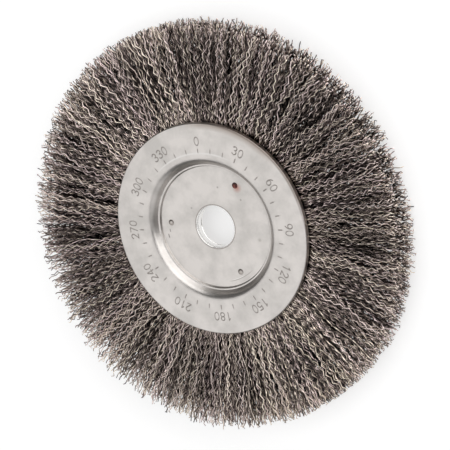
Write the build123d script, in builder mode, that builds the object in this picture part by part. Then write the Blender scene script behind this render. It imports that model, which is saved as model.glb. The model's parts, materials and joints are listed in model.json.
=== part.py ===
import os
from math import cos, radians, sin, tan

from build123d import *

# Crimped wire wheel brush, lying flat on the flared tips of its wires.
# The arbor axis is Z. The origin is on that axis, in the plane that the tips rest on.
# Lengths are in millimetres and angles in degrees.

# Wheel
wheel_diameter = 152.4
face_width = 16.4

# Side plates: stamped discs with a dished centre and a rim turned in over the wires. The dish wall has a low
# step at its foot and meets the land in a wide rounding.
plate_diameter = 79.4
plate_thickness = 1.2
width_over_plates = 12.7
dish_floor_diameter = 45.8
foot_step_height = 1.0
foot_step_width = 0.9
foot_step_slope = 0.25
wall_angle = 60.0
shoulder_radius = 3.7
shoulder_steps = 2
rim_depth = 2.1
rim_chamfer = 0.9

# Hub: the two dished floors with a washer between them, round the arbor hole. The washer's edge lies
# outside the rivets.
arbor_hole_diameter = 15.875
hub_washer_thickness = 2.0
hub_washer_edge = 2.6

# Rivets that hold the plates together, set in from the foot of the dish wall
rivet_count = 3
rivet_inset = 4.1
rivet_diameter = 2.4
rivet_clearance = 0.05
rivet_sides = 8
rivet_stand = 0.1
first_rivet_angle = 55.0

# Retaining ring, a hoop of flat bar over which the wires are doubled
ring_diameter = 63.0
ring_width = 3.2
ring_gauge = 2.4
ring_clearance = 0.15

# Wire hanks: each is a bundle of crimped wires, doubled over the ring and flaring to four ragged tips.
# Round one side of the wheel the front legs are splayed further out.
hank_count = 40
hank_patterns = 10
hank_wall = 1.9
hank_gap = 0.25
grip_clearance = 0.2
wire_play = 2.6
splay = 4.0
splay_angle = 232.0
crimp_half_wave = 6.2
crimp_swing = 0.65
crimp_ripple = 0.45
crimp_stagger = 0.5
front_trim_step = 3
back_trim_step = 7
slit_length = 15.0
slit_width = 1.6
leg_notch_length = 4.6
leg_notch_width = 4.4
tip_taper = 0.9
tip_scatter = 2.4

# Places worked out from the sizes above
mid_height = face_width / 2
wheel_radius = wheel_diameter / 2
plate_radius = plate_diameter / 2
land = width_over_plates / 2
hub_half = hub_washer_thickness / 2
floor = hub_half + plate_thickness
bore_radius = arbor_hole_diameter / 2
foot_radius = dish_floor_diameter / 2
rivet_circle_radius = foot_radius - rivet_inset
hub_washer_radius = rivet_circle_radius + rivet_diameter / 2 + hub_washer_edge
ring_radius = ring_diameter / 2
ring_slot_width = ring_width + 2 * ring_clearance
ring_slot_gauge = ring_gauge + 2 * ring_clearance
wrap_half_width = ring_slot_width / 2 + hank_wall
wrap_half_gauge = ring_slot_gauge / 2 + hank_wall
grip_half = land - rim_depth - grip_clearance
hank_angle = 360 / hank_count
golden = (5**0.5 - 1) / 2
mid_plane = Plane.XY.offset(mid_height)


def plate_section(side):
    """Section of one plate in the XZ plane: side is 1 for the front plate and -1 for the back one."""
    steepness = radians(wall_angle)
    step_top = floor + foot_step_height
    wall_foot = foot_radius + foot_step_width
    wall_rise = land - step_top - shoulder_radius * (1 - cos(steepness))
    wall_top = wall_foot + wall_rise / tan(steepness)
    mouth_radius = wall_top + shoulder_radius * sin(steepness)
    turns = [steepness * step / shoulder_steps for step in range(shoulder_steps, -1, -1)]
    drops = [shoulder_radius * (1 - cos(turn)) for turn in turns]
    shoulder = [(mouth_radius - shoulder_radius * sin(turn), land - drop) for turn, drop in zip(turns, drops)]
    # The hidden side has one plain wall, at least the sheet's gauge from the step, the wall and the shoulder
    inner_land = land - plate_thickness
    inner_rim = plate_radius - plate_thickness
    outline = [
        (bore_radius, hub_half),
        (bore_radius, floor),
        (foot_radius, floor),
        (foot_radius + foot_step_slope, step_top),
        (wall_foot, step_top),
        *shoulder,
        (plate_radius - rim_chamfer, land),
        (plate_radius, land - rim_chamfer),
        (plate_radius, land - rim_depth),
        (inner_rim, land - rim_depth),
        (inner_rim, inner_land),
        (wall_top + 2 * plate_thickness, inner_land),
        (foot_radius + plate_thickness, hub_half),
    ]
    return [(r, mid_height + side * z) for r, z in outline]


def crimp_stations(pattern):
    """Radii at which a hank bends, outside the plates, for one pattern of crimp."""
    stagger = crimp_stagger * crimp_half_wave * ((pattern * golden) % 1)
    first = plate_radius + crimp_half_wave / 2 + stagger
    last = wheel_radius - tip_scatter - crimp_half_wave / 2
    count = int((last - first) / crimp_half_wave) + 1
    return [first + step * crimp_half_wave for step in range(count)]


def hank_plan(stations):
    """Outline of a hank seen along the arbor: a wavy wedge, slit into two tufts towards its tip."""
    # Neighbours bend at different radii, so the gap between them also takes up what their waves differ by
    wave_play = 2 * crimp_swing * crimp_stagger * golden
    half_gap = (hank_gap + wave_play) / 2 / cos(radians(hank_angle / 2))
    slit_start = wheel_radius - slit_length

    def edge(r):
        return r * tan(radians(hank_angle / 2)) - half_gap

    def slit(r):
        return max(0, slit_width / 2 * (r - slit_start) / slit_length)

    root = ring_radius - wrap_half_gauge
    swing = [crimp_swing * (-1) ** step for step in range(len(stations))]
    bends = list(zip(stations, swing))
    cut = [(r, s) for r, s in bends if r > slit_start]
    tip = edge(wheel_radius) - tip_taper
    left = [(root, edge(root)), (plate_radius, edge(plate_radius))] + [(r, edge(r) + s) for r, s in bends]
    right = [(root, -edge(root)), (plate_radius, -edge(plate_radius))] + [(r, s - edge(r)) for r, s in bends]
    slit_left = [(r, slit(r) + s) for r, s in cut]
    slit_right = [(r, s - slit(r)) for r, s in cut]
    ends_left = [(wheel_radius, tip), (wheel_radius, slit(wheel_radius))]
    ends_right = [(wheel_radius, -slit(wheel_radius)), (wheel_radius, -tip)]
    apex = [(slit_start, 0)]
    return left + ends_left + slit_left[::-1] + apex + slit_right + ends_right + right[::-1]


def hank_side(stations, front_trim, back_trim, front_splay):
    """Outline of a hank seen from its side: the loop round the ring, then two legs that part at the tips."""
    loop = [
        (ring_radius - wrap_half_gauge, wrap_half_width - hank_wall),
        (ring_radius - wrap_half_gauge + hank_wall, wrap_half_width),
    ]
    ripple = [crimp_ripple * (step % 2) for step in range(len(stations))]
    notch = (wheel_radius - leg_notch_length, mid_height)

    def leg(trim, leg_splay):
        tip_half = face_width / 2 + leg_splay
        # The face lies under its outermost wires, which reach full width only at their tips
        slope = (tip_half - wire_play - grip_half) / (wheel_radius - plate_radius)
        face = [(r, grip_half + slope * (r - plate_radius) - drop) for r, drop in zip(stations, ripple)]
        tip = wheel_radius - trim
        mouth = leg_notch_width / 2 * (1 - trim / leg_notch_length)
        return loop + [(plate_radius, grip_half)] + face + [(tip, tip_half), (tip, mouth)]

    front = [(r, mid_height + z) for r, z in leg(front_trim, front_splay)]
    back = [(r, mid_height - z) for r, z in leg(back_trim, 0)]
    return front + [notch] + back[::-1]


def save(name, label):
    """Labels a finished piece and writes it."""
    name.label = label
    export_step(name, f"parts/{label}.step")


os.makedirs("parts", exist_ok=True)
rivet_places = PolarLocations(rivet_circle_radius, rivet_count, first_rivet_angle)

# Side plates
for side, label in ((1, "front_side_plate"), (-1, "back_side_plate")):
    with BuildPart() as side_plate:
        with BuildSketch(Plane.XZ):
            with BuildLine():
                Polyline(*plate_section(side), close=True)
            make_face()
        revolve(axis=Axis.Z)
        with BuildSketch(mid_plane):
            with rivet_places:
                RegularPolygon(rivet_diameter / 2 + rivet_clearance, rivet_sides)
        extrude(amount=width_over_plates, both=True, mode=Mode.SUBTRACT)
    save(side_plate.part, label)

# Hub washer between the dished floors
with BuildPart() as hub_washer:
    with BuildSketch(mid_plane):
        Circle(hub_washer_radius)
        Circle(bore_radius, mode=Mode.SUBTRACT)
        with rivet_places:
            RegularPolygon(rivet_diameter / 2 + rivet_clearance, rivet_sides, mode=Mode.SUBTRACT)
    extrude(amount=hub_half, both=True)
save(hub_washer.part, "hub_washer")

# Rivets, each a pin with its ends staked just proud of the plates
for number, place in enumerate(rivet_places, 1):
    with BuildPart() as plate_rivet:
        with BuildSketch():
            RegularPolygon(rivet_diameter / 2, rivet_sides)
        extrude(amount=floor + rivet_stand, both=True)
    save(mid_plane.location * place * plate_rivet.part, f"plate_rivet_{number}")

# Retaining ring
with BuildPart() as retaining_ring:
    with BuildSketch(Plane.XZ):
        with Locations((ring_radius, mid_height)):
            Rectangle(ring_gauge, ring_width)
    revolve(axis=Axis.Z)
save(retaining_ring.part, "retaining_ring")

# Wire hanks: a quarter turn holds one of each pattern, so opposite tips balance
for index in range(hank_count):
    pattern = index % hank_patterns
    bends = crimp_stations(pattern)
    front_trim = tip_scatter * ((pattern * front_trim_step) % hank_patterns) / hank_patterns
    back_trim = tip_scatter * ((pattern * back_trim_step) % hank_patterns) / hank_patterns
    front_splay = splay * max(0, cos(radians(index * hank_angle - splay_angle))) ** 2
    with BuildPart() as wire_hank:
        with BuildSketch(mid_plane):
            with BuildLine():
                Polyline(*hank_plan(bends), close=True)
            make_face()
        extrude(amount=face_width + splay, both=True)
        with BuildSketch(Plane.XZ):
            with BuildLine():
                Polyline(*hank_side(bends, front_trim, back_trim, front_splay), close=True)
            make_face()
            with Locations((ring_radius, mid_height)):
                Rectangle(ring_slot_gauge, ring_slot_width, mode=Mode.SUBTRACT)
        extrude(amount=wheel_radius, both=True, mode=Mode.INTERSECT)
    save(wire_hank.part.rotate(Axis.Z, index * hank_angle), f"wire_hank_{index + 1:02d}")
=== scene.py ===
import json

import bpy
import numpy as np
from mathutils import Matrix, Vector


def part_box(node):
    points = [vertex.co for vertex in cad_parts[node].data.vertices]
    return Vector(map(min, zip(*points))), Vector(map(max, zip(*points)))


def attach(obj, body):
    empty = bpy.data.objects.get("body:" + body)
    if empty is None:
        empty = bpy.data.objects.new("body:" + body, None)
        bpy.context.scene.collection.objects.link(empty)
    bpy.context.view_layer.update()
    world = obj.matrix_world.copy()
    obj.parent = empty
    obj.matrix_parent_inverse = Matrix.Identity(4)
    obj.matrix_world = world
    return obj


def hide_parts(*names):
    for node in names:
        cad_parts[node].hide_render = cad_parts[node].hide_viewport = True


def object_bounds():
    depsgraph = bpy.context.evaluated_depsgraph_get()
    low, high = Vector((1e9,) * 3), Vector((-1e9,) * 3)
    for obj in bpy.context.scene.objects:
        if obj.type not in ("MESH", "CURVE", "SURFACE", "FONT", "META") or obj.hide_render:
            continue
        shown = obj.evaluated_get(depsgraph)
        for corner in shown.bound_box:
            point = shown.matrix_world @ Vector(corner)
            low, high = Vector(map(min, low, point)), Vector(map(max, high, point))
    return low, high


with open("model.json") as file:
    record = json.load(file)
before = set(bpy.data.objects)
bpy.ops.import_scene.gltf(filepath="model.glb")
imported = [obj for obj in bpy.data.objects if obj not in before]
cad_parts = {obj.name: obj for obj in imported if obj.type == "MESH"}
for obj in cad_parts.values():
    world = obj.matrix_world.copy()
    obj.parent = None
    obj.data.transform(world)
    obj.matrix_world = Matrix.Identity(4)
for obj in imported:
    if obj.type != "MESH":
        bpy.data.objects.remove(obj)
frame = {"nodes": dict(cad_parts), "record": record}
cad_low, cad_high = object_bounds()

# Crimped wire wheel brush, lying flat on its wire tips with its front up.
# Lengths are worked out in millimetres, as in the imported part, and become metres where a mesh is written.
mm = 0.001
# A length too short to see
hair = 0.001


def box_mm(node):
    """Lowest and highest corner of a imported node, in millimetres."""
    low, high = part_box(node)
    return np.array(low) / mm, np.array(high) / mm


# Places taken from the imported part
_, front_high = box_mm("front_side_plate")
washer_low, washer_high = box_mm("hub_washer")
ring_low, ring_high = box_mm("retaining_ring")
wheel_radius = cad_high.x / mm
mid_height = (ring_high[2] + ring_low[2]) / 2
ring_half = (ring_high[2] - ring_low[2]) / 2
splay = cad_high.z / mm - 2 * mid_height
plate_radius = front_high[0]
land = front_high[2] - mid_height
hub_half = (washer_high[2] - washer_low[2]) / 2
bore_radius = frame["record"]["mounts"][0]["dims"]["r_mm"]
hanks = sorted(name for name in frame["nodes"] if name.startswith("wire_hank_"))
rivets = sorted(name for name in frame["nodes"] if name.startswith("plate_rivet_"))
hank_angle = 2 * np.pi / len(hanks)

# Stamped side plates
plate_thickness = 1.2
floor = hub_half + plate_thickness
foot_radius = 22.9
step_height = 1.0
step_width = 0.9
step_slope = 0.25
wall_angle = np.radians(60)
shoulder_round = 3.7
rim_depth = 2.1
rim_round = 0.5
step_round = 0.25
edge_round = 0.25
lip_radius = plate_radius - plate_thickness
corner_steps = 5
plate_spacing = 2.4
plate_columns = 240

# Dial stamped on the front plate: plain degrees round the arbor, and ticks inside them
dial_step = 30
dial_middle = 33.0
digit_height = 3.0
digit_width = 1.75
digit_gap = 0.75
tick_middle = 29.4
tick_length = 1.4
tick_step = 10
stroke_width = 0.36
stroke_points = 12
stamp_depth = 0.12
dial_grid = 0.14

# Sheared wall of the arbor hole, smooth and painted near white as a painted reflection: how far from it that
# is full, and where it has faded
sheared_full = 0.1
sheared_end = 0.3

# Patterns on the steel: smudges from handling, pits left by tumbling, the mill's grain and blotches of rust.
# The real pits and grain are about 0.1 mm, too fine to show, so they are drawn coarser.
smudge_size = 9.0
pit_size = 0.8
pit_depth = 0.03
mill_grain = 2.0
blotch_size = 1.1

# Marks on the front plate: wear, a dark line round the arbor hole, and painted shade on the rim. Arcs round
# the arbor: radius, half width, start and end in degrees, colour. One from -300 to 300 runs all the way
# round.
# An arc's core is the middle share of it that hasn't faded.
# Stains: middle, size, colour.
arc_core = 0.6
wear_and_shade_arcs = [
    # A thin dark line all round the edge of the arbor hole.
    (8.36, 0.22, -300, 300, "#776f69"),
    (20.9, 0.2, -84, -50, "#9a9590"),
    (20.6, 0.15, -80, -62, "#e2dfdc"),
    (28.5, 0.5, 60, 135, "#d6d3d0"),
    # The next two arcs darken the rim's rounding: partly brownish wear, partly painted shade that dims a
    # lamp's reflection there.
    (38.9, 1.8, 35, 100, "#a89e97"),
    (39.4, 0.7, 0, 90, "#857b74"),
    (20.9, 0.3, -173, -168, "#5e5854"),
    (19.8, 0.25, -178, -174, "#6f6a66"),
]
stains = [
    ((11.5, 14.5, mid_height + floor), 2.1, "#a87b70"),
    ((3.4, 14.8, mid_height + floor), 0.5, "#8f8a85"),
    ((12.4, 10.0, mid_height + floor), 0.5, "#86817c"),
    ((-9.0, 7.1, mid_height + floor), 0.5, "#8f8a85"),
    ((17.9, -5.0, mid_height + floor), 0.9, "#aaa59f"),
]

# Rivets: radius and height of a staked end, its height taken from the top of the pin, and the painted shade,
# with some grime, at each of those points. The painted shade is darkest towards one side of the pin.
rivet_end = np.array([(0.3, -0.01), (0.55, -0.04), (0.75, -0.085), (0.95, -0.08), (1.1, -0.04), (1.2, -0.15)])
rivet_groove_shade = np.array([0.1, 0.5, 1.0, 1.0, 0.5, 0.8])
groove_shade_side = np.radians(100)
groove_shade_mean = 0.6
groove_shade_swing = 0.4
rivet_columns = 28

# Wires. Each is doubled over the retaining ring, gripped between the plates' lips and crimped from there out.
# A hank's wall is its thickness round the ring, and the loops of its wires keep inside it. The crimp comes in
# over its first few millimetres outside the lips.
ring_gauge = 2.4
hank_wall = 1.9
loop_clearance = 0.35
loop_margin = 0.6
wire_radius = 0.205
grip_half = 3.8
crimp_wave = 3.6
wave_spread = 0.12
crimp_height = 0.52
crimp_start = 2.0
wander_wave = 20.0
wander_height = 0.75
wire_lean = 0.12
ragged = 2.6
splay_angle = np.radians(232)

# How a hank is filled. Most wires lie towards its two faces and a few in its heart. From one layer to the
# next, a wire's place across the hank and its shade move on by even steps. The wires hold together in locks,
# whose numbers are worked out just inside the hank's edges. A share of the wires fans in from the two faces
# to fill the tread between them.
face_wires = 58
heart_wires = 14
heart_start = 0.04
heart_end = 0.52
even_step = (0.5698, 0.7549)
locks_across = 6
locks_deep = 2
lock_edge = 0.999
lock_lean = 0.02
lock_gather = 0.1
gather_power = 1.5
fan_in = 0.75
fan_share = 0.65
fan_power = 0.9
first_seed = 1000

# The wires' tint: how far the painted light on exposed places and the painted shade deep in the brush, the
# painted highlight at the crests of the crimp, each wire's own shade and the painted shade beside the lips
# change it. A share of each wire's warmth is its hank's.
depth_light_power = 4
depth_light_tint = 0.72
crest_highlight_tint = 0.4
shade_range = 1.2
lip_shade_tint = 0.25
lip_shade_reach = 4.0
hank_warmth = 0.2

# Light. Softboxes: name, azimuth and elevation in degrees, distance, width and height in metres, brightness.
sky_strength = 0.07
floor_lift = 0.52
floor_half = 3.0
softboxes = [
    ("key", 47, 28, 0.9, 2.0, 0.8, 1.95),
    ("overhead", 204, 68, 0.9, 1.2, 2.2, 1.06),
    ("fill", 298, 30, 0.9, 0.9, 0.75, 0.75),
]

# Camera: the photograph's viewing angle on the wheel. Its distance is in metres.
camera_azimuth = np.radians(24.35)
camera_elevation = np.radians(55.08)
camera_roll = np.radians(-118.9)
camera_distance = 0.710
camera_lens = 156.0
camera_sensor = 36.0
camera_slide = (2.403 * mm, 0.040 * mm)


def linear(code):
    """Turns an sRGB hex colour such as #c8c4c0 into linear red, green, blue and alpha."""
    srgb = np.array([int(code[place:place + 2], 16) for place in (1, 3, 5)]) / 255
    low = srgb / 12.92
    high = ((srgb + 0.055) / 1.055) ** 2.4
    return [*np.where(srgb <= 0.04045, low, high), 1.0]


def add(tree, kind, inputs=None, **settings):
    """Adds one shader node. Settings are its own properties. Inputs are its sockets, by name or number,
    each with the value it gets or the output that it is linked from. A Mix node blends numbers through
    sockets 2 and 3 to output 0, and colours through sockets 6 and 7 to output 2."""
    made = tree.nodes.new("ShaderNode" + kind)
    for name, value in settings.items():
        setattr(made, name, value)
    for socket, value in (inputs or {}).items():
        if isinstance(value, bpy.types.NodeSocket):
            tree.links.new(value, made.inputs[socket])
        else:
            made.inputs[socket].default_value = value
    return made


def new_material(name):
    """A named material with an empty node tree, its tree, and its output node."""
    made = bpy.data.materials.new(name)
    made.use_nodes = True
    made.node_tree.nodes.clear()
    output = add(made.node_tree, "OutputMaterial")
    return made, made.node_tree, output


def write_piece(name, points, faces, material, node, marks):
    """Makes a smooth-shaded mesh object from points in millimetres, with a number at each point for each of
    its marks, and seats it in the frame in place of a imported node."""
    mesh = bpy.data.meshes.new(name)
    mesh.from_pydata((points * mm).tolist(), [], faces)
    mesh.polygons.foreach_set("use_smooth", np.ones(len(mesh.polygons), bool))
    for mark, values in marks.items():
        held = mesh.attributes.new(mark, "FLOAT", "POINT")
        held.data.foreach_set("value", np.ascontiguousarray(values, np.float32))
    mesh.materials.append(material)
    piece = bpy.data.objects.new(name, mesh)
    bpy.context.scene.collection.objects.link(piece)
    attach(piece, "root")
    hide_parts(node)


def arc_mark(tree, radius, turn, middle, width, start, end):
    """Mask of an arc round the arbor: 1 on its line, falling to 0 over its width in millimetres to both
    sides, and beyond its core towards its start and its end."""
    off_line = add(tree, "Math", {0: radius, 1: middle * mm}, operation="SUBTRACT")
    off_line = add(tree, "Math", {0: off_line.outputs[0]}, operation="ABSOLUTE")
    on_line = add(tree, "MapRange", {"Value": off_line.outputs[0], "From Max": width * mm,
                                     "To Min": 1.0, "To Max": 0.0})
    off_middle = add(tree, "Math", {0: turn, 1: np.radians((start + end) / 2)}, operation="SUBTRACT")
    off_middle = add(tree, "Math", {0: off_middle.outputs[0]}, operation="ABSOLUTE")
    half = np.radians((end - start) / 2)
    within = add(tree, "MapRange", {"Value": off_middle.outputs[0], "From Min": half * arc_core,
                                    "From Max": half, "To Min": 1.0, "To Max": 0.0})
    both = add(tree, "Math", {0: on_line.outputs[0], 1: within.outputs[0]}, operation="MULTIPLY")
    return both.outputs[0]


def spot_mark(tree, place, middle, size):
    """Mask of a round spot: 1 at its middle, falling to 0 at its size, all in millimetres."""
    away = add(tree, "VectorMath", {0: place, 1: [value * mm for value in middle]}, operation="DISTANCE")
    spot = add(tree, "MapRange", {"Value": away.outputs["Value"], "From Max": size * mm,
                                  "To Min": 1.0, "To Max": 0.0})
    return spot.outputs[0]


def distance_from_arbor(tree, place):
    """Distance of each point from the arbor axis: the length of its position with the height left out."""
    flat = add(tree, "VectorMath", {0: place, 1: (1, 1, 0)}, operation="MULTIPLY")
    return add(tree, "VectorMath", {0: flat.outputs[0]}, operation="LENGTH").outputs["Value"]


def sheared_wall(tree, radius, tone, roughness):
    """Colour and roughness of a sheet's surface, made smooth on the punched wall of the arbor hole and
    painted near white there as a painted reflection. The mask is 1 beside the wall and falls to 0 with
    distance from the arbor."""
    full, end = (bore_radius + sheared_full) * mm, (bore_radius + sheared_end) * mm
    wall = add(tree, "MapRange", {"Value": radius, "From Min": full, "From Max": end,
                                  "To Min": 1.0, "To Max": 0.0})
    # Painted reflection: on the wall the colour is raised nearly to white.
    colour = add(tree, "Mix", {"Factor": wall.outputs[0], 6: tone, 7: linear("#f6f5f3")}, data_type="RGBA")
    sheen = add(tree, "Mix", {0: wall.outputs[0], 2: roughness, 3: 0.1})
    return colour.outputs[2], sheen.outputs[0]


def tumbled_stamped_steel():
    """Cold-rolled sheet, stamped and barrel tumbled: a warm light grey metal whose satin surface spreads
    reflections into soft patches, with faint smudges, a rust stain beside the rusty rivet, arcs of wear, a
    dark line round the arbor hole and painted shade on the rim that dims a lamp's reflection. The sheared
    wall of the arbor hole is smoother and painted near white as a painted reflection."""
    made, tree, output = new_material("tumbled_stamped_steel")
    place = add(tree, "TexCoord").outputs["Object"]
    smudge = add(tree, "TexNoise", {"Vector": place, "Scale": 1 / (smudge_size * mm), "Detail": 4.0,
                                    "Roughness": 0.6})
    smudged = add(tree, "ValToRGB", {"Fac": smudge.outputs["Fac"]})
    smudged.color_ramp.elements[0].position = 0.35
    smudged.color_ramp.elements[0].color = linear("#bcb8b4")
    smudged.color_ramp.elements[1].position = 0.6
    smudged.color_ramp.elements[1].color = linear("#cfcac6")
    stamp = add(tree, "Attribute", attribute_name="stamp").outputs["Fac"]
    tone = add(tree, "Mix", {"Factor": stamp, 6: smudged.outputs["Color"], 7: linear("#8b8580")},
               data_type="RGBA")
    radius = distance_from_arbor(tree, place)
    sides = add(tree, "SeparateXYZ", {0: place})
    turn = add(tree, "Math", {0: sides.outputs["Y"], 1: sides.outputs["X"]}, operation="ARCTAN2").outputs[0]
    for middle, width, start, end, colour in wear_and_shade_arcs:
        arc_marked = arc_mark(tree, radius, turn, middle, width, start, end)
        tone = add(tree, "Mix", {"Factor": arc_marked, 6: tone.outputs[2], 7: linear(colour)}, data_type="RGBA")
    for middle, size, colour in stains:
        stained = spot_mark(tree, place, middle, size)
        tone = add(tree, "Mix", {"Factor": stained, 6: tone.outputs[2], 7: linear(colour)}, data_type="RGBA")
    pits = add(tree, "TexNoise", {"Vector": place, "Scale": 1 / (pit_size * mm), "Detail": 3.0,
                                  "Roughness": 0.7})
    sheen = add(tree, "MapRange", {"Value": pits.outputs["Fac"], "To Min": 0.26, "To Max": 0.4})
    colour, roughness = sheared_wall(tree, radius, tone.outputs[2], sheen.outputs["Result"])
    bump = add(tree, "Bump", {"Height": pits.outputs["Fac"], "Strength": 0.12, "Distance": pit_depth * mm})
    shader = add(tree, "BsdfPrincipled", {
        "Base Color": colour, "Metallic": 1.0, "Roughness": roughness, "Normal": bump.outputs["Normal"]})
    tree.links.new(shader.outputs[0], output.inputs["Surface"])
    return made


def oiled_crimped_wire():
    """Bare spring wire, drawn, crimped between gears and oiled: a dark warm grey metal with small highlights,
    each wire a little lighter, yellower or pinker than its neighbours. Its tint carries painted shade deep in
    the brush and beside the lips, painted light towards its faces and tips, and painted highlights at the
    crests of the crimp."""
    made, tree, output = new_material("oiled_crimped_wire")
    tint = add(tree, "Attribute", attribute_name="tint").outputs["Fac"]
    tone = add(tree, "ValToRGB", {"Fac": tint})
    # The dark end of the ramp is the painted shade deep in the brush; the light end is the painted light on
    # exposed wires and the painted highlights.
    tone.color_ramp.elements[0].color = linear("#0e0c0b")
    tone.color_ramp.elements[1].color = linear("#fffaf7")
    middle = tone.color_ramp.elements.new(0.5)
    middle.color = linear("#a39b99")
    warmth = add(tree, "Attribute", attribute_name="warmth").outputs["Fac"]
    cast = add(tree, "Mix", {"Factor": warmth, 6: linear("#fff0f3"), 7: linear("#fff9e8")}, data_type="RGBA")
    cast_tone = add(tree, "Mix", {"Factor": 1.0, 6: tone.outputs["Color"], 7: cast.outputs[2]},
                    data_type="RGBA", blend_type="MULTIPLY")
    shader = add(tree, "BsdfPrincipled", {
        "Base Color": cast_tone.outputs[2], "Metallic": 1.0, "Roughness": 0.22})
    tree.links.new(shader.outputs[0], output.inputs["Surface"])
    return made


def staked_steel(name, rusty):
    """Mild steel pin, its end staked over a punch: grey metal, or dark brown rust all over where it is rusty.
    The punched groove is painted dark, more to one side, as painted shade with some grime."""
    made, tree, output = new_material(name)
    place = add(tree, "TexCoord").outputs["Object"]
    blotch = add(tree, "TexNoise", {"Vector": place, "Scale": 1 / (blotch_size * mm), "Detail": 4.0,
                                    "Roughness": 0.65})
    tone = add(tree, "ValToRGB", {"Fac": blotch.outputs["Fac"]})
    tone.color_ramp.elements[0].position = 0.4
    tone.color_ramp.elements[0].color = linear("#3a1410" if rusty else "#a39c96")
    tone.color_ramp.elements[1].position = 0.62
    tone.color_ramp.elements[1].color = linear("#8e4c42" if rusty else "#c4beb9")
    groove = add(tree, "Attribute", attribute_name="groove").outputs["Fac"]
    # The groove is painted dark: painted shade with some grime.
    groove_shaded = add(tree, "Mix", {"Factor": groove, 6: tone.outputs["Color"],
                              7: linear("#2a1512" if rusty else "#3a3431")}, data_type="RGBA")
    shader = add(tree, "BsdfPrincipled", {
        "Base Color": groove_shaded.outputs[2],
        "Metallic": 0.35 if rusty else 1.0,
        "Roughness": 0.6 if rusty else 0.3})
    tree.links.new(shader.outputs[0], output.inputs["Surface"])
    return made


def mill_finish_steel():
    """Strip and bar as they leave the mill: dull mid grey with a faint grain, and smooth and painted near
    white as a painted reflection where the arbor hole is sheared through the hub washer."""
    made, tree, output = new_material("mill_finish_steel")
    place = add(tree, "TexCoord").outputs["Object"]
    grain = add(tree, "TexNoise", {"Vector": place, "Scale": 1 / (mill_grain * mm), "Detail": 4.0})
    tone = add(tree, "ValToRGB", {"Fac": grain.outputs["Fac"]})
    tone.color_ramp.elements[0].position = 0.35
    tone.color_ramp.elements[0].color = linear("#8f8b88")
    tone.color_ramp.elements[1].position = 0.65
    tone.color_ramp.elements[1].color = linear("#b5b1ae")
    sheen = add(tree, "MapRange", {"Value": grain.outputs["Fac"], "To Min": 0.36, "To Max": 0.44})
    radius = distance_from_arbor(tree, place)
    colour, roughness = sheared_wall(tree, radius, tone.outputs["Color"], sheen.outputs["Result"])
    shader = add(tree, "BsdfPrincipled", {"Base Color": colour, "Metallic": 1.0, "Roughness": roughness})
    tree.links.new(shader.outputs[0], output.inputs["Surface"])
    return made


def rounded_outline(corners):
    """A closed outline whose corners are round. Each corner is a point and a radius: the arc there starts and
    ends at radius times the tangent of half the turn from the corner, and is drawn in equal steps of angle.
    A corner without a radius stays one point."""
    points, radius = np.split(np.array(corners, float), [2], 1)
    before = points - np.roll(points, 1, 0)
    after = np.roll(points, -1, 0) - points
    before /= np.linalg.norm(before, axis=1)[:, None]
    after /= np.linalg.norm(after, axis=1)[:, None]
    turns = np.arctan2(before[:, 0] * after[:, 1] - before[:, 1] * after[:, 0], (before * after).sum(1))
    turns = turns[:, None]
    start = points - before * (radius * np.tan(abs(turns) / 2))
    inward = np.sign(turns) * np.stack([-before[:, 1], before[:, 0]], -1)
    swept = np.linspace(0, abs(turns), corner_steps + 1, axis=1)
    way = np.sin(swept) * before[:, None] + (1 - np.cos(swept)) * inward[:, None]
    arcs = start[:, None] + radius[:, None] * way
    return arcs[(radius > 0) | (np.arange(corner_steps + 1) == 0)]


def divided(outline):
    """The same closed outline with each side cut into the fewest equal parts no longer than the spacing."""
    sides = np.roll(outline, -1, 0) - outline
    parts = np.ceil(np.linalg.norm(sides, axis=1) / plate_spacing).astype(int)
    first = np.repeat(np.cumsum(parts) - parts, parts)
    share = (np.arange(parts.sum()) - first) / np.repeat(parts, parts)
    return np.repeat(outline, parts, 0) + np.repeat(sides, parts, 0) * share[:, None]


def turned(outline, angles):
    """Points of a closed outline of radius and height, carried round the arbor axis: x is radius times the
    cosine of the angle and y is radius times its sine. Rows follow the outline and columns the angles."""
    radius, height = outline[:, :1], outline[:, 1:]
    x = radius * np.cos(angles)
    y = radius * np.sin(angles)
    z = height + 0 * angles
    return np.stack([x, y, z], -1)


def grid_faces(rows, columns, closed=True):
    """Quads between neighbours of a grid of points that closes on itself round its columns, and also from its
    last row to its first one where it is closed."""
    number = np.arange(rows * columns).reshape(rows, columns)
    below = np.roll(number, -1, 0)
    quads = np.stack([number, np.roll(number, -1, 1), np.roll(below, -1, 1), below], -1)
    return (quads if closed else quads[:-1]).reshape(-1, 4)


def plate_outline(side):
    """Section of one side plate as radius and height, counter-clockwise for the front plate. The dish wall
    rises from a low step, and its line meets the land at a corner that the shoulder rounds off."""
    step_top = floor + step_height
    wall_foot = foot_radius + step_width
    wall_top = wall_foot + (land - step_top - shoulder_round * (1 - np.cos(wall_angle))) / np.tan(wall_angle)
    shoulder_corner = wall_foot + (land - step_top) / np.tan(wall_angle)
    inner_land = land - plate_thickness
    corners = [
        (bore_radius, hub_half, 0.0),
        (foot_radius + plate_thickness, hub_half, step_round + plate_thickness),
        (wall_top + 2 * plate_thickness, inner_land, shoulder_round - 2 * plate_thickness),
        (lip_radius, inner_land, edge_round),
        (lip_radius, land - rim_depth, edge_round),
        (plate_radius, land - rim_depth, edge_round),
        (plate_radius, land, rim_round),
        (shoulder_corner, land, shoulder_round),
        (wall_foot, step_top, step_round),
        (foot_radius + step_slope, step_top, step_round),
        (foot_radius, floor, step_round),
        (bore_radius, floor, edge_round),
    ]
    outline = rounded_outline(corners)
    outline[:, 1] = mid_height + side * outline[:, 1]
    return outline if side > 0 else outline[::-1]


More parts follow.
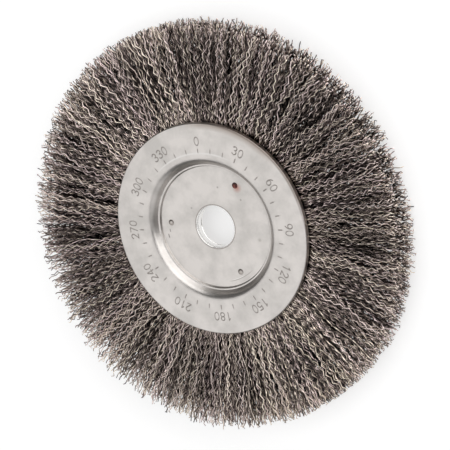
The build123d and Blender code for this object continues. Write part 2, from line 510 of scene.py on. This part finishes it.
def arc(middle_x, middle_y, half_width, half_height, start, end):
    """Points along part of an ellipse, from one angle to another in degrees."""
    swept = np.radians(np.linspace(start, end, 2 * stroke_points))
    return np.stack([middle_x + half_width * np.cos(swept), middle_y + half_height * np.sin(swept)], -1)


def ruled(*corners):
    """Points along straight strokes from corner to corner."""
    share = np.linspace(0, 1, stroke_points)[:, None]
    return np.concatenate([np.array(a) + (np.array(b) - a) * share for a, b in zip(corners, corners[1:])])


def digit_strokes():
    """Centre lines of the ten digits in a box one wide and one high, as a stamping punch cuts them."""
    return {
        "0": [arc(0.5, 0.5, 0.5, 0.5, 0, 360)],
        "1": [ruled((0.2, 0.78), (0.5, 1), (0.5, 0))],
        "2": [arc(0.5, 0.72, 0.46, 0.28, 165, -35), ruled((0.87, 0.56), (0.04, 0), (0.96, 0))],
        "3": [arc(0.46, 0.76, 0.42, 0.24, 150, -90), arc(0.46, 0.26, 0.5, 0.26, 90, -150)],
        "4": [ruled((0.74, 0), (0.74, 1), (0.02, 0.3), (1, 0.3))],
        "5": [ruled((0.9, 1), (0.16, 1), (0.1, 0.56)), arc(0.48, 0.32, 0.48, 0.32, 125, -150)],
        "6": [arc(0.5, 0.31, 0.47, 0.31, 0, 360), arc(0.95, 0.31, 0.92, 0.69, 112, 180)],
        "7": [ruled((0.05, 1), (0.95, 1), (0.35, 0))],
        "8": [arc(0.5, 0.76, 0.4, 0.24, 0, 360), arc(0.5, 0.26, 0.48, 0.26, 0, 360)],
        "9": [arc(0.5, 0.69, 0.47, 0.31, 0, 360), arc(0.05, 0.69, 0.92, 0.69, -68, 0)],
    }


def dial_labels():
    """The dial's labels: text, its place round the arbor in radians, and half its width in millimetres.
    Zero is at the top of the picture and the degrees run clockwise."""
    labels = []
    for degrees in range(0, 360, dial_step):
        text = str(degrees)
        half = (len(text) * (digit_width + digit_gap) - digit_gap) / 2
        labels.append((text, np.radians(90 - degrees), half))
    return labels


def dial_columns():
    """Angles of the columns of the stamped band, and which of them run on through the rest of the plate.
    Those are even all round, and the others lie close together where a label or a tick is stamped. A tick's
    middle column stands a hair aside, so that it never meets an even one."""
    fine = dial_grid / dial_middle
    least = fine / 3
    spans = []
    for _, angle, half in dial_labels():
        reach = (half + stroke_width) / dial_middle
        spans.append(np.arange(angle - reach, angle + reach, fine))
    ticks = np.radians(np.arange(0, 360, tick_step))[:, None]
    across = np.array([-1, -0.5, hair, 0.5, 1]) * stroke_width / tick_middle
    even = np.linspace(0, 2 * np.pi, plate_columns, endpoint=False)
    close = np.sort(np.concatenate([*spans, (ticks + across).ravel()]) % (2 * np.pi))
    away = np.abs((close[:, None] - even + np.pi) % (2 * np.pi) - np.pi).min(1)
    close = close[(away > least) & (np.diff(close, append=np.inf) > least)]
    angles = np.sort(np.concatenate([even, close]))
    return angles, np.flatnonzero(np.isin(angles, even))


def stamped(points):
    """How deep each point of the front plate is pressed: 1 up to a quarter of a stroke's width from its
    centre line, falling smoothly to 0 at three quarters of its width."""
    radius = np.hypot(points[..., 0], points[..., 1])
    angle = np.arctan2(points[..., 1], points[..., 0])
    away = np.full(radius.shape, np.inf)
    strokes = digit_strokes()
    for text, place, half in dial_labels():
        turn = (angle - place + np.pi) % (2 * np.pi) - np.pi
        across = -turn * dial_middle
        up = radius - dial_middle + digit_height / 2
        off_middle = np.abs(up - digit_height / 2)
        near = (np.abs(across) < half + stroke_width) & (off_middle < digit_height / 2 + stroke_width)
        here = np.stack([across[near], up[near]], -1)
        closest = np.full(len(here), np.inf)
        for number, digit in enumerate(text):
            left = number * (digit_width + digit_gap) - half
            for stroke in strokes[digit]:
                drawn = stroke * [digit_width, digit_height] + [left, 0]
                closest = np.minimum(closest, np.linalg.norm(here[:, None] - drawn, axis=2).min(1))
        away[near] = np.minimum(away[near], closest)
    tick_turn = np.radians(tick_step)
    across = ((angle + tick_turn / 2) % tick_turn - tick_turn / 2) * radius
    along = np.maximum(np.abs(radius - tick_middle) - tick_length / 2, 0)
    away = np.minimum(away, np.hypot(across, along))
    depth = np.clip(1.5 - 2 * away / stroke_width, 0, 1)
    return depth * depth * (3 - 2 * depth)


def make_front_plate(material):
    """The front plate, turned from its section, with the dial pressed into a band of its land. The band has
    close rows and columns of its own. The rest runs from its inner edge through the dish, the bore and the
    rim to its outer edge, and a strip of flat faces joins the two on each side."""
    flat = mid_height + land
    outer = dial_middle + digit_height / 2 + stroke_width
    digits_end = dial_middle - digit_height / 2 - stroke_width
    ticks_end = tick_middle - tick_length / 2
    inner = ticks_end - stroke_width
    outline = plate_outline(1)
    shoulder = np.flatnonzero((outline[:, 1] > flat - hair) & (outline[:, 0] < dial_middle)).min()
    rest = divided(np.roll(outline, -shoulder, 0))
    beyond = np.flatnonzero((rest[:, 1] > flat - hair) & (rest[:, 0] > outer + stroke_width)).max()
    rest = np.concatenate([[[inner - stroke_width, flat]], rest[:beyond + 1], [[outer + stroke_width, flat]]])
    digit_rows = np.linspace(outer, digits_end, int(round((outer - digits_end) / dial_grid)))
    tick_rows = [ticks_end + tick_length + stroke_width / 2, ticks_end + tick_length, ticks_end,
                 ticks_end - stroke_width / 2, inner]
    rows = np.concatenate([digit_rows, tick_rows])
    band = np.stack([rows, 0 * rows + flat], -1)
    angles, through = dial_columns()
    rest_points = turned(rest, angles[through])
    band_points = turned(band, angles)
    depth = stamped(band_points)
    band_points[..., 2] -= stamp_depth * depth
    rest_count = rest_points[..., 0].size
    columns = len(angles)
    faces = grid_faces(len(rest), len(through), False).tolist()
    faces += (grid_faces(len(band), columns, False) + rest_count).tolist()
    last_rest = (len(rest) - 1) * len(through)
    last_band = rest_count + (len(band) - 1) * columns
    for column in range(len(through)):
        after = (column + 1) % len(through)
        span = np.arange(through[column], through[after] + (columns if after == 0 else 0) + 1) % columns
        faces.append([last_rest + column, last_rest + after, *(rest_count + span[::-1])])
        faces.append([*(last_band + span), after, column])
    marks = np.concatenate([np.zeros(rest_count), depth.ravel()])
    points = np.concatenate([rest_points.reshape(-1, 3), band_points.reshape(-1, 3)])
    write_piece("front_plate", points, faces, material, "front_side_plate", {"stamp": marks})


def make_back_plate(material):
    """The back plate, the same stamping turned over, left plain."""
    outline = divided(plate_outline(-1))
    angles = np.linspace(0, 2 * np.pi, plate_columns, endpoint=False)
    points = turned(outline, angles).reshape(-1, 3)
    faces = grid_faces(len(outline), len(angles)).tolist()
    marks = np.zeros(len(points))
    write_piece("back_plate", points, faces, material, "back_side_plate", {"stamp": marks})


def make_rivet(number, node, material):
    """A staked pin: a shallow ring is pressed round a small raised middle at each end. Its outline of radius
    and height is turned round its own axis, and each end closes on one point."""
    low, high = box_mm(node)
    middle = (low + high) / 2
    half = (high[2] - low[2]) / 2
    rise = rivet_end + [0, half]
    outline = np.concatenate([rise, (rise * [1, -1])[::-1]])
    angles = np.linspace(0, 2 * np.pi, rivet_columns, endpoint=False)
    points = turned(outline, angles).reshape(-1, 3) + middle
    poles = np.array([middle + [0, 0, half], middle - [0, 0, half]])
    number_of = np.arange(len(points)).reshape(len(outline), rivet_columns)
    after = np.roll(number_of, -1, 1)
    top = len(points) + 0 * after[0]
    sides = np.stack([number_of[:-1], number_of[1:], after[1:], after[:-1]], -1).reshape(-1, 4)
    top_cap = np.stack([top, number_of[0], after[0]], -1)
    bottom_cap = np.stack([top + 1, after[-1], number_of[-1]], -1)
    faces = sides.tolist() + top_cap.tolist() + bottom_cap.tolist()
    # Painted shade in the groove, darkest towards one side of the pin.
    around = groove_shade_mean + groove_shade_swing * np.cos(angles - groove_shade_side)
    groove_shade = np.concatenate([rivet_groove_shade, rivet_groove_shade[::-1]])[:, None] * around
    marks = np.concatenate([groove_shade.ravel(), [0, 0]])
    write_piece(f"staked_rivet_{number}", np.concatenate([points, poles]), faces, material,
                node, {"groove": marks})


def scattered(rng, count, low, high):
    """Numbers spread evenly between two limits, in random order, each a little off its even place."""
    return low + (high - low) * (rng.permutation(count) + rng.random(count)) / count


def loop_stand(depth):
    """How far a wire's centre line stands off the ring: in proportion to its depth in the hank."""
    return loop_clearance + (hank_wall - loop_margin) * depth


def leg_lines(rng, side, depth, across, shade, lock, turn):
    """Centre lines of one leg of each wire, from its tip in towards the ring, as radius, angle, height and
    tint. Depth is a wire's share of the hank's half thickness, and across its share of the hank's width.

    The crimp swings a leg to one side and the other of its own line, in a zigzag whose bends are half a wave
    apart. Outside the lips that line leans from the radius at a steady rate, wanders in a sine, and draws
    together with its lock's. Its height above the middle plane grows from the grip's to the face's with
    distance from the lips, less for the wires that fan in. Front legs stand out further where the wheel is
    splayed, by the square of the cosine of their angle from the splay's middle.

    The tint is painted light and shade. It rises with a high power of a point's share of the brush's half
    width there and with the same power of its share of the way to the tip, lighter where a wire lies out in
    the light and darker deep in the brush, and at the crests of the crimp as a painted highlight. Each wire
    has a shade of its own. The tint falls towards the lips as painted shade beside the plates."""
    count = len(depth)
    lock_leans = rng.normal(0, lock_lean, locks_across * locks_deep)
    lean = (lock_leans[lock] + rng.normal(0, wire_lean, count))[:, None]
    plane = rng.random(count)[:, None] * 2 * np.pi
    first = rng.random(count)[:, None]
    half_wave = crimp_wave / 2 * (1 + wave_spread * rng.random(count)[:, None])
    phase = rng.random((2, count, 1)) * 2 * np.pi
    fanned = rng.random(count) * (rng.random(count) < fan_share)
    tip = wheel_radius - wire_radius - ragged * rng.random(count)[:, None]
    bends = int(np.ceil((wheel_radius - lip_radius) / (crimp_wave / 2)))
    sign = np.where(np.arange(bends) % 2, -1.0, 1.0)
    swing = np.concatenate([2 * first - 1, sign * np.ones((count, 1))], 1)
    radius = tip - np.concatenate([0 * first, (first + np.arange(bends)) * half_wave], 1)
    out = np.clip(radius - lip_radius, 0, None)
    grown = out / (wheel_radius - lip_radius)
    swing = swing * crimp_height * np.clip(out / crimp_start, 0, 1)
    wander = wander_height * np.sin(2 * np.pi * out / wander_wave + phase) - wander_height * np.sin(phase)
    lock_middle = (lock % locks_across + 0.5) / locks_across - 0.5
    to_middle = (lock_middle - across)[:, None] * hank_angle * wheel_radius
    gathered = lock_gather * to_middle * grown ** gather_power
    sideways = lean * out + gathered + wander[0] + swing * np.cos(plane)
    angle = across[:, None] * hank_angle + sideways / radius
    at_ring = ring_half + loop_stand(depth)[:, None]
    at_lips = grip_half * depth[:, None]
    to_lips = np.clip((radius - ring_high[0]) / (lip_radius - ring_high[0]), 0, 1)
    tip_half = mid_height + (splay * max(0, np.cos(turn - splay_angle)) ** 2 if side > 0 else 0)
    limit = tip_half - wire_radius
    at_tip = (limit - crimp_height / 2) * (depth * (1 - fan_in * fanned))[:, None]
    height = at_ring + (at_lips - at_ring) * to_lips + (at_tip - at_lips) * grown ** fan_power
    height = np.clip(side * height + swing * np.sin(plane) + wander[1] * grown, -limit, limit)
    # Painted highlight: lighter at the crests of the crimp that face out of the brush.
    crest_highlight = side * swing * np.sin(plane) / crimp_height
    cover = np.abs(height) / (grip_half + ((mid_height + tip_half) / 2 - grip_half) * grown)
    # Painted light and shade: lighter where a wire lies out at the brush's faces and towards its tips, darker
    # deep inside.
    painted_depth_light = np.clip(np.clip(cover, 0, 1) ** depth_light_power + grown ** depth_light_power, 0, 1)
    tint = depth_light_tint * painted_depth_light + crest_highlight_tint * crest_highlight + shade_range * shade[:, None]
    # Painted shade: darker beside the lips, under the plates' rims.
    tint *= 1 - lip_shade_tint + lip_shade_tint * np.clip(out / lip_shade_reach, 0, 1)
    return radius, angle, height, tint


def wire_lines(rng, turn):
    """Centre lines of the whole wires of one hank, in its own frame, as radius, angle, height and tint: a
    front leg from its tip inwards, four bends round the ring, and a back leg out to its tip. Counted from the
    outside in, each wire's place across the hank and its shade lie one even step past the last wire's, and
    start again where they leave their range, so that no layer has a gap or is all dark or bright."""
    depth = np.concatenate([scattered(rng, face_wires, heart_end, 1.0),
                            scattered(rng, heart_wires, heart_start, heart_end)])
    layer = np.argsort(np.argsort(-depth))
    across = (layer * even_step[0] + rng.random()) % 1 - 0.5
    shade = (layer * even_step[1] + rng.random()) % 1 - 0.5
    lock = np.floor((across + 0.5) * locks_across * lock_edge).astype(int)
    lock += locks_across * np.floor(depth * locks_deep * lock_edge).astype(int)
    front = leg_lines(rng, 1, depth, across, shade, lock, turn)
    back = leg_lines(rng, -1, depth, across, shade, lock, turn)
    stand = loop_stand(depth)[:, None]
    radius = ring_high[0] - ring_gauge - stand * [0, 1, 1, 0]
    angle = across[:, None] * hank_angle + 0 * radius
    height = ring_half * np.array([1, 1, -1, -1]) + stand * [1, 0, 0, -1]
    bends = radius, angle, height, 0 * radius
    radius, angle, height, tint = (
        np.concatenate([first, bend, last[:, ::-1]], 1) for first, bend, last in zip(front, bends, back))
    return radius, angle, height, np.clip(tint, 0, 1)


def round_wires(radius, angle, height, spin):
    """Closed three-sided wires round centre lines: points, sides and ends. At each point the section stands
    across the line's direction: one of its axes is the direction round the arbor less its share along the
    line, and the other is square to both. Spin turns each wire about its own line."""
    centre = np.stack([radius * np.cos(angle), radius * np.sin(angle), mid_height + height], -1)
    ahead = np.gradient(centre, axis=1)
    ahead /= np.linalg.norm(ahead, axis=2)[..., None]
    sideways = np.stack([-np.sin(angle), np.cos(angle), 0 * angle], -1)
    sideways -= (sideways * ahead).sum(2)[..., None] * ahead
    sideways /= np.linalg.norm(sideways, axis=2)[..., None]
    upward = np.cross(ahead, sideways)
    corner = (spin[:, None] + np.arange(3) * 2 * np.pi / 3)[:, None, :, None]
    section = np.cos(corner) * sideways[:, :, None] + np.sin(corner) * upward[:, :, None]
    points = centre[:, :, None] + wire_radius * section
    wires, stations = radius.shape
    number = np.arange(wires * stations * 3).reshape(wires, stations, 3)
    turned_on = np.roll(number, -1, 2)
    sides = np.stack([number[:, :-1], turned_on[:, :-1], turned_on[:, 1:], number[:, 1:]], -1).reshape(-1, 4)
    ends = np.concatenate([number[:, 0, ::-1], number[:, -1]])
    return points.reshape(-1, 3), sides, ends


def make_wires(index, node, material):
    """All the wires of one hank as one piece, each with a warmth near the hank's own."""
    rng = np.random.default_rng(first_seed + index)
    turn = index * hank_angle
    radius, angle, height, tint = wire_lines(rng, turn)
    count, stations = radius.shape
    points, sides, ends = round_wires(radius, angle + turn, height, rng.random(count) * 2 * np.pi)
    warmth = hank_warmth * rng.random() + (1 - hank_warmth) * rng.random(count)
    marks = {"tint": np.repeat(tint.ravel(), 3), "warmth": np.repeat(warmth, stations * 3)}
    write_piece(f"crimped_wires_{index + 1:02d}", points, sides.tolist() + ends.tolist(), material,
                node, marks)


def make_camera():
    """A camera on a sphere round the wheel's middle, rolled about its own line of sight."""
    data = bpy.data.cameras.new("camera")
    data.lens = camera_lens
    data.sensor_width = camera_sensor
    camera = bpy.data.objects.new("camera", data)
    bpy.context.scene.collection.objects.link(camera)
    east, north = np.cos(camera_azimuth), np.sin(camera_azimuth)
    level, rise = np.cos(camera_elevation), np.sin(camera_elevation)
    back = Vector((level * east, level * north, rise))
    plain_right = Vector((-north, east, 0))
    plain_up = Vector((-rise * east, -rise * north, level))
    right = plain_right * np.cos(camera_roll) + plain_up * np.sin(camera_roll)
    up = back.cross(right)
    place = Vector((0, 0, mid_height * mm)) + back * camera_distance
    place += right * camera_slide[0] + up * camera_slide[1]
    turn = Matrix((right, up, back)).transposed().to_4x4()
    camera.matrix_world = Matrix.Translation(place) @ turn
    bpy.context.scene.camera = camera


def softbox(name, azimuth, elevation, distance, width, height, brightness):
    """A rectangular lamp that faces the wheel. A brightness of 1 shows as white in a mirror."""
    data = bpy.data.lights.new(name, "AREA")
    data.shape = "RECTANGLE"
    data.size = width
    data.size_y = height
    data.energy = np.pi * width * height * brightness
    lamp = bpy.data.objects.new(name, data)
    lamp.visible_camera = False
    bpy.context.scene.collection.objects.link(lamp)
    azimuth, elevation = np.radians(azimuth), np.radians(elevation)
    level, rise = np.cos(elevation), np.sin(elevation)
    back = Vector((level * np.cos(azimuth), level * np.sin(azimuth), rise))
    turn = back.to_track_quat("Z", "Y").to_matrix().to_4x4()
    lamp.matrix_world = Matrix.Translation(back * distance) @ turn


def make_studio():
    """A pale floor that shows white to the eye and in metal but keeps the wheel's shadow, a dim even sky, and
    three soft lamps: a large one low beside the top of the picture, one overhead, and a smaller fill."""
    made, tree, output = new_material("pale_floor")
    rays = add(tree, "LightPath")
    by_camera, by_gloss = rays.outputs["Is Camera Ray"], rays.outputs["Is Glossy Ray"]
    through_glass = rays.outputs["Is Transmission Ray"]
    seen = add(tree, "Math", {0: by_camera, 1: by_gloss}, operation="MAXIMUM")
    seen = add(tree, "Math", {0: seen.outputs[0], 1: through_glass}, operation="MAXIMUM")
    lift_share = add(tree, "Math", {0: seen.outputs[0], 1: floor_lift}, operation="MULTIPLY")
    paint = add(tree, "BsdfDiffuse", {"Color": linear("#cccccc")})
    lift = add(tree, "Emission", {"Color": linear("#ffffff"), "Strength": lift_share.outputs[0]})
    both = add(tree, "AddShader", {0: paint.outputs[0], 1: lift.outputs[0]})
    tree.links.new(both.outputs[0], output.inputs["Surface"])
    corners = [(x * floor_half, y * floor_half, 0) for x, y in ((-1, -1), (1, -1), (1, 1), (-1, 1))]
    mesh = bpy.data.meshes.new("floor")
    mesh.from_pydata(corners, [], [(0, 1, 2, 3)])
    mesh.materials.append(made)
    ground = bpy.data.objects.new("floor", mesh)
    bpy.context.scene.collection.objects.link(ground)
    world = bpy.data.worlds.new("studio")
    bpy.context.scene.world = world
    world.use_nodes = True
    tree = world.node_tree
    tree.nodes.clear()
    sky = add(tree, "Background", {"Color": linear("#ffffff"), "Strength": sky_strength})
    output = add(tree, "OutputWorld")
    tree.links.new(sky.outputs[0], output.inputs["Surface"])
    for lamp in softboxes:
        softbox(*lamp)


bpy.context.scene.view_settings.view_transform = "Standard"
make_camera()
make_studio()

plate_steel = tumbled_stamped_steel()
make_front_plate(plate_steel)
make_back_plate(plate_steel)
bright_pin = staked_steel("staked_steel", False)
rusty_pin = staked_steel("rusted_steel", True)
for number, node in enumerate(rivets, 1):
    make_rivet(number, node, rusty_pin if number == 1 else bright_pin)
hidden_steel = mill_finish_steel()
for name in ("hub_washer", "retaining_ring"):
    frame["nodes"][name].data.materials.clear()
    frame["nodes"][name].data.materials.append(hidden_steel)
wire_steel = oiled_crimped_wire()
for index, node in enumerate(hanks):
    make_wires(index, node, wire_steel)
